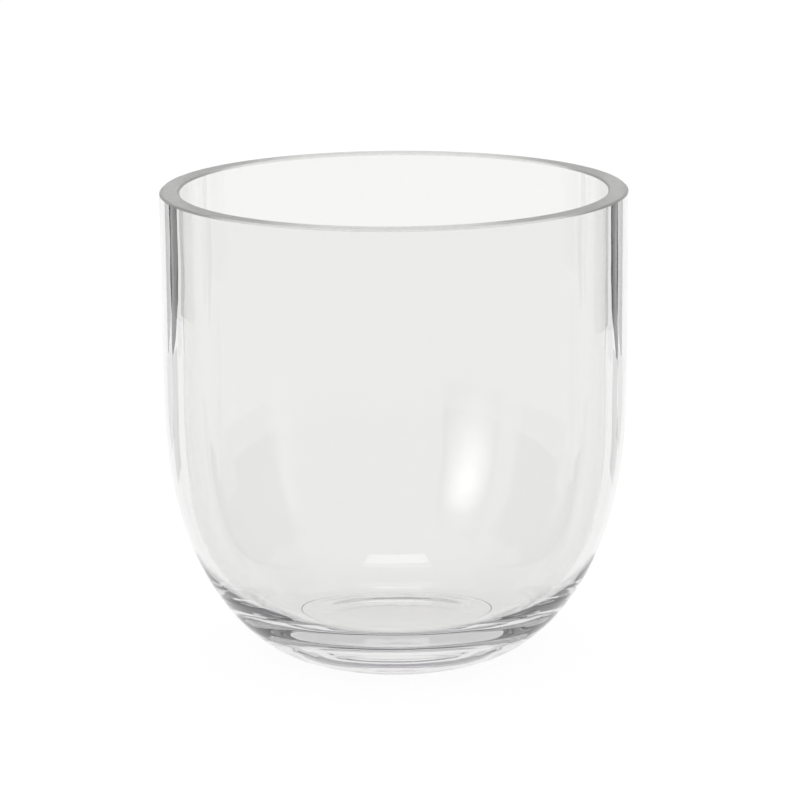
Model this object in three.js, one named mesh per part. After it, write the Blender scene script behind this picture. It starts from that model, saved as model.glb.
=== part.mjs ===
// Flower vase in clear glass: one blown piece with straight sides, a cut rim that is ground flat,
// a long rounded heel and a heavy floor that stands on a flat foot ring.
// Units are mm, +Z is up, and the origin is the centre of the foot on the table.
import * as THREE from "three";

// Outside
const RIM_DIAMETER = 150;
const HEIGHT = 152.5;
const HEEL_HEIGHT = 91; // where the rounded heel meets the straight side
const HEEL_RISE_POWER = 2.46;
const HEEL_SPREAD_POWER = 1.555;

// Underside
const FOOT_RADIUS = 33.4;
const FOOT_RING_WIDTH = 6.4;
const FOOT_STEP = 0.6; // the ring stands this far proud of the heel, with a rounded edge
const PUNT_DEPTH = 1; // the shallow hollow inside the foot ring
const PUNT_POWER = 4; // flat in the middle, steep at its edge

// Wall and floor
const WALL = 6.4;
const FLOOR_THICKNESS = 10.5;
const FLOOR_FLAT_RADIUS = 10;
const BOWL_RISE_POWER = 2.7;
const BOWL_SPREAD_POWER = 3.4;

// Ground edge
const EDGE_BEVEL = 0.6;

// Facets
const TURN_SEGMENTS = 96;
const PUNT_STEPS = 6;
const FOOT_EDGE_STEPS = 3;
const HEEL_STEPS = 16;
const OUTER_SIDE_STEPS = 2;
const INNER_SIDE_STEPS = 6;
const BOWL_STEPS = 14;

const RIM_RADIUS = RIM_DIAMETER / 2;
const PUNT_RADIUS = FOOT_RADIUS - FOOT_RING_WIDTH;

// A rounded corner that leaves the floor level at low.radius and ends upright at high.radius.
function roundedCorner(z, low, high, risePower, spreadPower) {
  const drop = THREE.MathUtils.clamp((high.z - z) / (high.z - low.z), 0, 1);
  const spread = Math.pow(1 - Math.pow(drop, risePower), 1 / spreadPower);
  return low.radius + (high.radius - low.radius) * spread;
}

function outerRadius(z) {
  const foot = { z: FOOT_STEP, radius: FOOT_RADIUS + FOOT_STEP };
  const side = { z: HEEL_HEIGHT, radius: RIM_RADIUS };
  return roundedCorner(z, foot, side, HEEL_RISE_POWER, HEEL_SPREAD_POWER);
}

function innerRadius(z) {
  const floor = { z: FLOOR_THICKNESS, radius: FLOOR_FLAT_RADIUS };
  const side = { z: HEEL_HEIGHT, radius: RIM_RADIUS - WALL };
  return roundedCorner(z, floor, side, BOWL_RISE_POWER, BOWL_SPREAD_POWER);
}

// The hollow under the foot, from the axis out to the foot ring.
function addPunt(outline) {
  for (let i = 0; i < PUNT_STEPS; i++) {
    const across = i / PUNT_STEPS;
    outline.push(new THREE.Vector2(PUNT_RADIUS * across, PUNT_DEPTH * (1 - Math.pow(across, PUNT_POWER))));
  }
}

// The flat foot ring and its rounded outer edge.
function addFootRing(outline) {
  outline.push(new THREE.Vector2(PUNT_RADIUS, 0));
  for (let i = 0; i <= FOOT_EDGE_STEPS; i++) {
    const turn = (Math.PI / 2) * (i / FOOT_EDGE_STEPS);
    const radius = FOOT_RADIUS + FOOT_STEP * Math.sin(turn);
    outline.push(new THREE.Vector2(radius, FOOT_STEP * (1 - Math.cos(turn))));
  }
}

// The outside, from the foot ring up to the bevel of the rim. Steps are short at the foot.
function addOutside(outline) {
  for (let i = 1; i <= HEEL_STEPS; i++) {
    const z = THREE.MathUtils.lerp(FOOT_STEP, HEEL_HEIGHT, Math.pow(i / HEEL_STEPS, 2));
    outline.push(new THREE.Vector2(outerRadius(z), z));
  }
  const sideTop = HEIGHT - EDGE_BEVEL;
  for (let i = 1; i <= OUTER_SIDE_STEPS; i++) {
    const z = THREE.MathUtils.lerp(HEEL_HEIGHT, sideTop, i / OUTER_SIDE_STEPS);
    outline.push(new THREE.Vector2(outerRadius(z), z));
  }
}

// The flat ground rim between its two small bevels.
function addRim(outline) {
  const inner = RIM_RADIUS - WALL;
  outline.push(new THREE.Vector2(RIM_RADIUS - EDGE_BEVEL, HEIGHT));
  outline.push(new THREE.Vector2(inner + EDGE_BEVEL, HEIGHT));
  outline.push(new THREE.Vector2(inner, HEIGHT - EDGE_BEVEL));
}

// The inside, from below the rim down the wall and across the floor to the axis.
function addInside(outline) {
  const sideTop = HEIGHT - EDGE_BEVEL;
  for (let i = 1; i <= INNER_SIDE_STEPS; i++) {
    const z = THREE.MathUtils.lerp(sideTop, HEEL_HEIGHT, i / INNER_SIDE_STEPS);
    outline.push(new THREE.Vector2(innerRadius(z), z));
  }
  for (let i = BOWL_STEPS - 1; i >= 0; i--) {
    const z = THREE.MathUtils.lerp(FLOOR_THICKNESS, HEEL_HEIGHT, Math.pow(i / BOWL_STEPS, 2));
    outline.push(new THREE.Vector2(innerRadius(z), z));
  }
  outline.push(new THREE.Vector2(0, FLOOR_THICKNESS));
}

function glassOutline() {
  const outline = [];
  addPunt(outline);
  addFootRing(outline);
  addOutside(outline);
  addRim(outline);
  addInside(outline);
  return outline;
}

function makeVaseBody() {
  const geometry = new THREE.LatheGeometry(glassOutline(), TURN_SEGMENTS);
  geometry.rotateX(Math.PI / 2); // the lathe turns about Y
  const clearGlass = new THREE.MeshStandardMaterial({
    color: 0xf1f2f0,
    roughness: 0.03,
    metalness: 0,
    transparent: true,
    opacity: 0.35,
  });
  const body = new THREE.Mesh(geometry, clearGlass);
  body.name = "vase_body";
  return body;
}

const vase = new THREE.Group();
vase.add(makeVaseBody());

export default vase;
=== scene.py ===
import math

import bmesh
import bpy
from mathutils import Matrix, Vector, noise


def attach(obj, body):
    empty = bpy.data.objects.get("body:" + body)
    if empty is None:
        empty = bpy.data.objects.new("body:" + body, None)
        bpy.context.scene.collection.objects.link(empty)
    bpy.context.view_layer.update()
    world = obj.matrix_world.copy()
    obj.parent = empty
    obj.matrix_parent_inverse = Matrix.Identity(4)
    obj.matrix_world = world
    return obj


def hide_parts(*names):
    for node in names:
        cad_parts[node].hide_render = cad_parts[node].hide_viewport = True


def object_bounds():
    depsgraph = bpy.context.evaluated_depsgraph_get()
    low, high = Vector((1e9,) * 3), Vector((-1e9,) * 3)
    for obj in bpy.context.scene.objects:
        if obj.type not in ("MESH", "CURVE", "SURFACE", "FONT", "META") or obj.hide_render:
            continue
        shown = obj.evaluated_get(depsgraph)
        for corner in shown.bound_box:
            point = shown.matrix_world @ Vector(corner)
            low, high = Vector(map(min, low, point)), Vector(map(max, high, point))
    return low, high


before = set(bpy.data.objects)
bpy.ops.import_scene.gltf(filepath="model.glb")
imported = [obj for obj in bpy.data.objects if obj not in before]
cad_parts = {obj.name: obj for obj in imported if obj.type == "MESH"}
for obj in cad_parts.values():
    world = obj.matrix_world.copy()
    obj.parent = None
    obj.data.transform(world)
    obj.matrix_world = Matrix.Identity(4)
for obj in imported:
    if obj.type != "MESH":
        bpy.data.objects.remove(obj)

cad_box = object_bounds()
LOW, HIGH = cad_box
MM = 0.001

# ---------------------------------------------------------------- the glass's section, as in the CAD
HEIGHT = HIGH.z - LOW.z
RIM_RADIUS = 75 * MM
HEEL_HEIGHT = 91 * MM
HEEL_RISE_POWER = 2.46
HEEL_SPREAD_POWER = 1.555
FOOT_RADIUS = 33.4 * MM
FOOT_RING_WIDTH = 6.4 * MM
FOOT_STEP = 0.6 * MM
PUNT_DEPTH = 1 * MM
PUNT_POWER = 4
WALL = 6.4 * MM
FLOOR_THICKNESS = 10.5 * MM
FLOOR_FLAT_RADIUS = 10 * MM
BOWL_RISE_POWER = 2.7
BOWL_SPREAD_POWER = 3.4
EDGE_BEVEL = 0.6 * MM
PUNT_RADIUS = FOOT_RADIUS - FOOT_RING_WIDTH
SIDE_TOP = HEIGHT - EDGE_BEVEL
MOUTH_RADIUS = RIM_RADIUS - WALL

# How finely the glass is cut up, and how far an edge has to turn to stay sharp
TURN_SEGMENTS = 288
PUNT_STEPS = 16
FOOT_RING_STEPS = 4
FOOT_EDGE_STEPS = 5
CURVE_STEPS = 110
SIDE_STEPS = 24
RIM_STEPS = 4
FLOOR_STEPS = 8
SPLIT_ANGLE = math.radians(28)

# Hand-worked glass isn't quite true: how far the surface strays, and over what distance.
DRIFT, DRIFT_LENGTH = 0.05 * MM, 34 * MM
RIPPLE, RIPPLE_LENGTH, RIPPLE_HEIGHT = 0.015 * MM, 20 * MM, 4 * MM
INSIDE_SHIFT = Vector((0.31, 0.17, 0.05))

# Heights or radii between which the straying fades: in above the foot and away from the bowl's
# middle, and out towards the rim. The ripple is only on the outside, and fades out up the heel.
FOOT_FADE = (0.0, 6 * MM)
BOWL_FADE = (45 * MM, 65 * MM)
RIM_FADE = (HEIGHT - 20 * MM, HEIGHT - 4 * MM)
RIPPLE_FADE = (22 * MM, 75 * MM)


def rounded_corner(z, low, high, rise_power, spread_power):
    """The radius at a height on a corner that is level at low and upright at high, each (z, radius)."""
    drop = min(max((high[0] - z) / (high[0] - low[0]), 0.0), 1.0)
    spread = (1 - drop**rise_power) ** (1 / spread_power)
    return low[1] + (high[1] - low[1]) * spread


def smoothstep(x, low, high):
    t = min(max((x - low) / (high - low), 0.0), 1.0)
    return t * t * (3 - 2 * t)


def outer_radius(z):
    low = (FOOT_STEP, FOOT_RADIUS + FOOT_STEP)
    high = (HEEL_HEIGHT, RIM_RADIUS)
    return rounded_corner(z, low, high, HEEL_RISE_POWER, HEEL_SPREAD_POWER)


def inner_radius(z):
    low = (FLOOR_THICKNESS, FLOOR_FLAT_RADIUS)
    high = (HEEL_HEIGHT, MOUTH_RADIUS)
    return rounded_corner(z, low, high, BOWL_RISE_POWER, BOWL_SPREAD_POWER)


def add_underside(outline):
    """The hollow under the foot, the flat foot ring and its rounded outer edge."""
    for i in range(PUNT_STEPS):
        across = i / PUNT_STEPS
        outline.append((PUNT_RADIUS * across, PUNT_DEPTH * (1 - across**PUNT_POWER), "under"))
    for i in range(FOOT_RING_STEPS + 1):
        outline.append((PUNT_RADIUS + FOOT_RING_WIDTH * i / FOOT_RING_STEPS, 0.0, "under"))
    for i in range(1, FOOT_EDGE_STEPS + 1):
        a = math.pi / 2 * i / FOOT_EDGE_STEPS
        outline.append((FOOT_RADIUS + FOOT_STEP * math.sin(a), FOOT_STEP * (1 - math.cos(a)), "under"))


def add_outside(outline):
    """The heel, in steps that are short at the foot, and the straight side."""
    for i in range(1, CURVE_STEPS + 1):
        z = FOOT_STEP + (HEEL_HEIGHT - FOOT_STEP) * (i / CURVE_STEPS) ** 2
        outline.append((outer_radius(z), z, "outside"))
    for i in range(1, SIDE_STEPS + 1):
        z = HEEL_HEIGHT + (SIDE_TOP - HEEL_HEIGHT) * i / SIDE_STEPS
        outline.append((RIM_RADIUS, z, "outside"))


def add_rim(outline):
    """The flat ground rim between its two small bevels."""
    outline.append((RIM_RADIUS - EDGE_BEVEL, HEIGHT, "bevel"))
    flat_width = WALL - 2 * EDGE_BEVEL
    for i in range(1, RIM_STEPS + 1):
        outline.append((RIM_RADIUS - EDGE_BEVEL - flat_width * i / RIM_STEPS, HEIGHT, "ground"))
    outline.append((MOUTH_RADIUS, SIDE_TOP, "bevel"))


def add_inside(outline):
    """Down the wall, round the bowl and across the floor to the axis."""
    for i in range(1, SIDE_STEPS + 1):
        z = SIDE_TOP + (HEEL_HEIGHT - SIDE_TOP) * i / SIDE_STEPS
        outline.append((MOUTH_RADIUS, z, "inside"))
    for i in range(CURVE_STEPS - 1, -1, -1):
        z = FLOOR_THICKNESS + (HEEL_HEIGHT - FLOOR_THICKNESS) * (i / CURVE_STEPS) ** 2
        outline.append((inner_radius(z), z, "inside"))
    for i in range(1, FLOOR_STEPS):
        outline.append((FLOOR_FLAT_RADIUS * (1 - i / FLOOR_STEPS), FLOOR_THICKNESS, "inside"))
    outline.append((0.0, FLOOR_THICKNESS, "inside"))


def section():
    """Radius, height and kind of each point of the outline, from the axis underneath to the axis inside."""
    outline = []
    add_underside(outline)
    add_outside(outline)
    add_rim(outline)
    add_inside(outline)
    return outline


def unevenness(x, y, z, kind):
    """How far in metres the worked glass strays outward from its true section at a point."""
    if kind in ("ground", "bevel", "under"):
        return 0.0
    rim_fade = 1 - smoothstep(z, *RIM_FADE)
    if kind == "inside":
        drift = noise.noise((Vector((x, y, z)) + INSIDE_SHIFT) / DRIFT_LENGTH) * DRIFT
        return drift * smoothstep(math.hypot(x, y), *BOWL_FADE) * rim_fade
    drift = noise.noise(Vector((x, y, z)) / DRIFT_LENGTH) * DRIFT
    stretched = Vector((x / RIPPLE_LENGTH, y / RIPPLE_LENGTH, z / RIPPLE_HEIGHT))
    ripple = noise.noise(stretched) * RIPPLE * (1 - smoothstep(z, *RIPPLE_FADE))
    return (drift + ripple) * smoothstep(z, *FOOT_FADE) * rim_fade


def turned_mesh(name, outline, turns):
    """The outline turned about the axis. The rim's faces take the second material."""
    bm = bmesh.new()
    rings = []
    for r, z, kind in outline:
        if r == 0:
            rings.append([bm.verts.new((0, 0, z))])
            continue
        ring = []
        for k in range(turns):
            a = 2 * math.pi * k / turns
            uneven = r + unevenness(r * math.cos(a), r * math.sin(a), z, kind)
            ring.append(bm.verts.new((uneven * math.cos(a), uneven * math.sin(a), z)))
        rings.append(ring)
    kinds = [kind for _, _, kind in outline[1:]]
    for low, high, kind in zip(rings, rings[1:], kinds):
        for k in range(turns):
            k2 = (k + 1) % turns
            if len(low) == 1:
                face = bm.faces.new((low[0], high[k2], high[k]))
            elif len(high) == 1:
                face = bm.faces.new((low[k], low[k2], high[0]))
            else:
                face = bm.faces.new((low[k], low[k2], high[k2], high[k]))
            face.smooth = True
            face.material_index = 1 if kind in ("ground", "bevel") else 0
    bm.normal_update()
    mesh = bpy.data.meshes.new(name)
    bm.to_mesh(mesh)
    bm.free()
    obj = bpy.data.objects.new(name, mesh)
    bpy.context.scene.collection.objects.link(obj)
    return obj


# ---------------------------------------------------------------- materials
GLASS_IOR = 1.52
GLASS_TINT = (1.0, 0.999, 0.991)
# Painted shade: the glass's colour falls from the facing tone to the slant tone where it is seen at a
# slant, between these two facing values
FACING_TONE, SLANT_SHADE_TONE = 0.901, 0.74
SLANT_SHADE_START, SLANT_SHADE_END = 0.58, 0.76
DEPTH_COLOR = (0.533, 0.50, 0.567, 1)
DEPTH_DENSITY = 1.9
SWELL_SCALE, SWELL_HEIGHT = 38, 0.08 * MM
DRAW_STRETCH, DRAW_HEIGHT = (150, 150, 9), 0.014 * MM
SEED_SCALE, SEED_SIZE, SEED_HEIGHT = 36.0, 0.013, 0.22 * MM
SEED_RARITY = 0.8
HAZE_SCALE, HAZE_PATCHES, HAZE_ROUGHNESS = 24, (0.55, 0.85), (0.0, 0.02)
NOISE_MIDDLE = (0.3, 0.7)  # where nearly all of a noise's values lie

RIM_TINT = (1.0, 0.995, 0.98)
RIM_TRANSMISSION = 0.6
RIM_MOTTLE_SCALE, RIM_TONES = 600, (0.70, 0.80)
RIM_SATIN_SCALE, RIM_ROUGHNESS = 900, (0.30, 0.46)
RIM_GRAIN_SCALE, RIM_GRAIN_HEIGHT = 1500, 0.06 * MM


class Nodes:
    """A few short helpers round one material's node tree."""

    def __init__(self, name):
        self.material = bpy.data.materials.new(name)
        self.material.use_nodes = True
        self.tree = self.material.node_tree
        self.shader = self.tree.nodes["Principled BSDF"]
        self.coords = None

    def add(self, kind, **values):
        """A new node, with values for its inputs or its own settings."""
        node = self.tree.nodes.new(kind)
        for key, value in values.items():
            if key in node.inputs:
                node.inputs[key].default_value = value
            else:
                setattr(node, key, value)
        return node

    def link(self, a, b):
        self.tree.links.new(a, b)

    def set(self, name, value):
        """One even value on the shader."""
        self.shader.inputs[name].default_value = value

    def drive(self, name, output):
        """A value on the shader that comes from another node."""
        self.link(output, self.shader.inputs[name])

    def position(self, scale=(1, 1, 1)):
        """Object coordinates in metres, stretched by scale."""
        if self.coords is None:
            self.coords = self.add("ShaderNodeTexCoord")
        mapping = self.add("ShaderNodeMapping")
        mapping.inputs["Scale"].default_value = scale
        self.link(self.coords.outputs["Object"], mapping.inputs["Vector"])
        return mapping.outputs["Vector"]

    def noise(self, scale, detail=2.0, stretch=(1, 1, 1), roughness=0.5):
        node = self.add("ShaderNodeTexNoise", Scale=scale, Detail=detail, Roughness=roughness)
        self.link(self.position(stretch), node.inputs["Vector"])
        return node.outputs["Fac"]

    def math(self, operation, a, b):
        node = self.add("ShaderNodeMath", operation=operation)
        for i, value in enumerate((a, b)):
            if isinstance(value, (int, float)):
                node.inputs[i].default_value = value
            else:
                self.link(value, node.inputs[i])
        return node.outputs[0]

    def remap(self, value, low, high, to_low, to_high):
        node = self.add("ShaderNodeMapRange")
        ends = {"From Min": low, "From Max": high, "To Min": to_low, "To Max": to_high}
        for key, number in ends.items():
            node.inputs[key].default_value = number
        self.link(value, node.inputs["Value"])
        return node.outputs["Result"]

    def tinted(self, tone, tint):
        """A colour: one tone times the three channels of a tint."""
        color = self.add("ShaderNodeCombineColor")
        for channel, factor in zip(("Red", "Green", "Blue"), tint):
            self.link(self.math("MULTIPLY", tone, factor), color.inputs[channel])
        return color.outputs["Color"]

    def bump(self, height):
        """height is in metres."""
        node = self.add("ShaderNodeBump", Strength=1.0, Distance=1.0)
        self.link(height, node.inputs["Height"])
        self.drive("Normal", node.outputs["Normal"])


def seed_heights(n):
    """A few tiny bubbles near the surface, far apart."""
    cells = n.add("ShaderNodeTexVoronoi", Scale=SEED_SCALE, Randomness=1.0)
    n.link(n.position(), cells.inputs["Vector"])
    dot = n.remap(cells.outputs["Distance"], 0.0, SEED_SIZE, 1.0, 0.0)
    rare = n.remap(cells.outputs["Color"], SEED_RARITY, SEED_RARITY + 0.02, 0.0, 1.0)
    return n.math("MULTIPLY", n.math("MULTIPLY", dot, rare), SEED_HEIGHT)


def glass_material():
    n = Nodes("clear_glass")
    n.set("IOR", GLASS_IOR)
    n.set("Transmission Weight", 1.0)
    # painted shade: the glass's colour is darkened where it is seen at a slant, to give the darker outline
    slant = n.add("ShaderNodeLayerWeight", Blend=0.5)
    tone = n.remap(slant.outputs["Facing"], SLANT_SHADE_START, SLANT_SHADE_END, FACING_TONE, SLANT_SHADE_TONE)
    n.drive("Base Color", n.tinted(tone, GLASS_TINT))
    # long paths through the thick glass, in the base and along the outline, come out greyer
    depth = n.add("ShaderNodeVolumeAbsorption", Color=DEPTH_COLOR, Density=DEPTH_DENSITY)
    n.link(depth.outputs["Volume"], n.tree.nodes["Material Output"].inputs["Volume"])
    # slow swells, faint upright draw lines and seeds
    swells = n.math("MULTIPLY", n.noise(SWELL_SCALE, 1.0), SWELL_HEIGHT)
    draws = n.math("MULTIPLY", n.noise(1.0, 1.0, DRAW_STRETCH), DRAW_HEIGHT)
    n.bump(n.math("ADD", n.math("ADD", swells, draws), seed_heights(n)))
    # a trace of handling haze in patches
    n.drive("Roughness", n.remap(n.noise(HAZE_SCALE, 3.0), *HAZE_PATCHES, *HAZE_ROUGHNESS))
    return n.material


def rim_material():
    """Ground glass: satin, mottled and slightly grainy."""
    n = Nodes("ground_rim")
    n.set("IOR", GLASS_IOR)
    n.set("Transmission Weight", RIM_TRANSMISSION)
    tone = n.remap(n.noise(RIM_MOTTLE_SCALE, 4.0), *NOISE_MIDDLE, *RIM_TONES)
    n.drive("Base Color", n.tinted(tone, RIM_TINT))
    satin = n.remap(n.noise(RIM_SATIN_SCALE, 3.0), *NOISE_MIDDLE, *RIM_ROUGHNESS)
    n.drive("Roughness", satin)
    grain = n.noise(RIM_GRAIN_SCALE, 4.0, roughness=0.7)
    n.bump(n.math("MULTIPLY", grain, RIM_GRAIN_HEIGHT))
    return n.material


vase = turned_mesh("glass_vase", section(), TURN_SEGMENTS)
vase.data.materials.append(glass_material())
vase.data.materials.append(rim_material())
edges = vase.modifiers.new("edges", "EDGE_SPLIT")
edges.split_angle = SPLIT_ANGLE
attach(vase, "root")
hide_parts("vase_body")

# ---------------------------------------------------------------- camera
RIM_DISTANCE = 15 * RIM_RADIUS  # from the centre of the rim
RIM_ELEVATION = math.radians(9.725)  # above the level of the rim
PITCH = math.radians(13.19)
ROLL = math.radians(0.4)
SIDE_STEP = 1.5 * MM
LENS = 157.83
SENSOR_WIDTH = 36

cam_data = bpy.data.cameras.new("camera")
cam_data.sensor_width = SENSOR_WIDTH
cam_data.lens = LENS
camera = bpy.data.objects.new("camera", cam_data)
bpy.context.scene.collection.objects.link(camera)
camera.location = (
    SIDE_STEP,
    -RIM_DISTANCE * math.cos(RIM_ELEVATION),
    HEIGHT + RIM_DISTANCE * math.sin(RIM_ELEVATION),
)
camera.rotation_euler = (math.pi / 2 - PITCH, 0, 0)
camera.rotation_euler.rotate_axis("Z", -ROLL)
bpy.context.scene.camera = camera

# ---------------------------------------------------------------- stage
TABLE_Z = -0.2 * MM
FLOOR_HALF_WIDTH = 6
FLOOR_COLOR, FLOOR_GLOW = (0.14, 0.14, 0.14), 0.91

# The cards stand round a point this far in front of the camera, about where the vase is.
CARD_CENTRE_DISTANCE = 1.157
BACKDROP_AWAY, BACKDROP_HALF_WIDTH, BACKDROP_TOP = 2.2, 2.5, 1.1
FAN_START = 0.07  # the near cards fan out from a point this far to the side of the centre

SKY_STRENGTH = 0.82
TOP_LIGHT_SIZE, TOP_LIGHT_WATTS = 0.6, 2.6
TOP_LIGHT_PLACE = (0, 0.2, 1.6)

# The thick base reflects light inside itself many times before it lets it out.
MAX_BOUNCES = 24
GLOSSY_BOUNCES = 16


def plain_material(name, color, glow=0.0):
    """An even matt surface, with light of its own if glow is set."""
    n = Nodes(name)
    n.set("Base Color", (*color, 1))
    n.set("Roughness", 1.0)
    n.set("Specular IOR Level", 0.0)
    n.set("Emission Color", (1, 1, 1, 1))
    n.set("Emission Strength", glow)
    return n.material


def glowing_material(n, strength):
    """A black surface with white light of its own, as strong as the nodes say."""
    n.set("Base Color", (0, 0, 0, 1))
    n.set("Emission Color", (1, 1, 1, 1))
    n.drive("Emission Strength", strength)
    return n.material


def shares_across(n):
    """How far across a card a point lies, and how far up it, each from 0 to 1."""
    place = n.add("ShaderNodeTexCoord")
    shares = n.add("ShaderNodeSeparateXYZ")
    n.link(place.outputs["Generated"], shares.inputs["Vector"])
    return shares.outputs["X"], shares.outputs["Y"]


def soft_edged_material(name, glow):
    """A glowing card that fades out towards its edges."""
    n = Nodes(name)
    strength = glow
    for share in shares_across(n):
        off_centre = n.math("ABSOLUTE", n.math("SUBTRACT", share, 0.5), 0.0)
        strength = n.math("MULTIPLY", n.remap(off_centre, 0.5, 0.1, 0.0, 1.0), strength)
    return glowing_material(n, strength)


def sweep_material(name, foot_glow, glow, share_to_fade):
    """A glowing card that is brightest at its foot and fades upward to its own tone."""
    n = Nodes(name)
    _, up = shares_across(n)
    return glowing_material(n, n.remap(up, 0.0, share_to_fade, foot_glow, glow))


def panel(name, corners, material):
    mesh = bpy.data.meshes.new(name)
    mesh.from_pydata(corners, [], [(0, 1, 2, 3)])
    mesh.materials.append(material)
    obj = bpy.data.objects.new(name, mesh)
    bpy.context.scene.collection.objects.link(obj)
    return obj


def upright_card(name, material, start, end, top, foot=0.0):
    """An upright card between two plan points (right, away), which keeps its place round the camera."""
    c, s = math.cos(PITCH), math.sin(PITCH)
    corners = []
    for (right, away), up in ((start, foot), (end, foot), (end, top), (start, top)):
        u = up - HEIGHT / 2
        corners.append((right, u * c + away * s, -(CARD_CENTRE_DISTANCE + away * c - u * s)))
    card = panel(name, corners, material)
    card.parent = camera
    card.visible_diffuse = False
    card.visible_shadow = False


def plan(place, side, from_x=0.0):
    """The plan point of a place (degrees from straight behind the vase, distance), to one side."""
    angle, distance = place
    a = math.radians(angle)
    return side * (from_x + distance * math.sin(a)), distance * math.cos(a)


def square(half_width, z):
    """The corners of a level square round the axis."""
    return [(x * half_width, y * half_width, z) for x, y in ((-1, -1), (1, -1), (1, 1), (-1, 1))]


panel("floor", square(FLOOR_HALF_WIDTH, TABLE_Z), plain_material("pale_floor", FLOOR_COLOR, FLOOR_GLOW))

pale = plain_material("pale_card", (0, 0, 0), glow=0.72)
black = plain_material("black_card", (0, 0, 0))
grey = plain_material("grey_card", (0.05, 0.05, 0.06), glow=0.07)
sweep = sweep_material("sweep", foot_glow=1.02, glow=0.68, share_to_fade=0.4)
softbox = soft_edged_material("softbox", glow=4.2)

# The ends of each card, as (degrees from straight behind the vase, metres), and its top
NEAR_CARDS = (
    ("line_card", black, (31, 0.40), (41.5, 0.54), 0.6),  # makes the dark line down each side
    ("low_card", pale, (31, 0.21), (41.5, 0.24), 0.045),
    ("edge_card", pale, (45.5, 0.5), (62, 0.5), 0.09),
)
FAR_CARDS = (
    ((47, 2.2), (75, 2.2), 1.6),
    ((75, 2.2), (105, 2.2), 1.9),
)
SOFTBOX_ENDS, SOFTBOX_FOOT, SOFTBOX_TOP = ((118, 0.9), (152, 0.9)), 0.02, 0.70

left = (-BACKDROP_HALF_WIDTH, BACKDROP_AWAY)
right = (BACKDROP_HALF_WIDTH, BACKDROP_AWAY)
upright_card("backdrop", sweep, left, right, BACKDROP_TOP)
for side in (-1, 1):
    for name, material, start, end, height in NEAR_CARDS:
        upright_card(name, material, plan(start, side, FAN_START), plan(end, side, FAN_START), height)
    for start, end, height in FAR_CARDS:
        upright_card("side_card", grey, plan(start, side), plan(end, side), height)
start, end = (plan(place, -1) for place in SOFTBOX_ENDS)
upright_card("softbox", softbox, start, end, SOFTBOX_TOP, SOFTBOX_FOOT)

world = bpy.data.worlds.new("world")
bpy.context.scene.world = world
world.use_nodes = True
sky = world.node_tree.nodes["Background"]
sky.inputs["Color"].default_value = (1, 1, 1, 1)
sky.inputs["Strength"].default_value = SKY_STRENGTH

top_lamp = bpy.data.lights.new("top", "AREA")
top_lamp.shape = "RECTANGLE"
top_lamp.size = TOP_LIGHT_SIZE
top_lamp.size_y = TOP_LIGHT_SIZE
top_lamp.energy = TOP_LIGHT_WATTS
top_light = bpy.data.objects.new("top", top_lamp)
bpy.context.scene.collection.objects.link(top_light)
top_light.location = TOP_LIGHT_PLACE

scene = bpy.context.scene
scene.view_settings.view_transform = "Standard"
scene.cycles.max_bounces = MAX_BOUNCES
scene.cycles.glossy_bounces = GLOSSY_BOUNCES
scene.cycles.transmission_bounces = MAX_BOUNCES
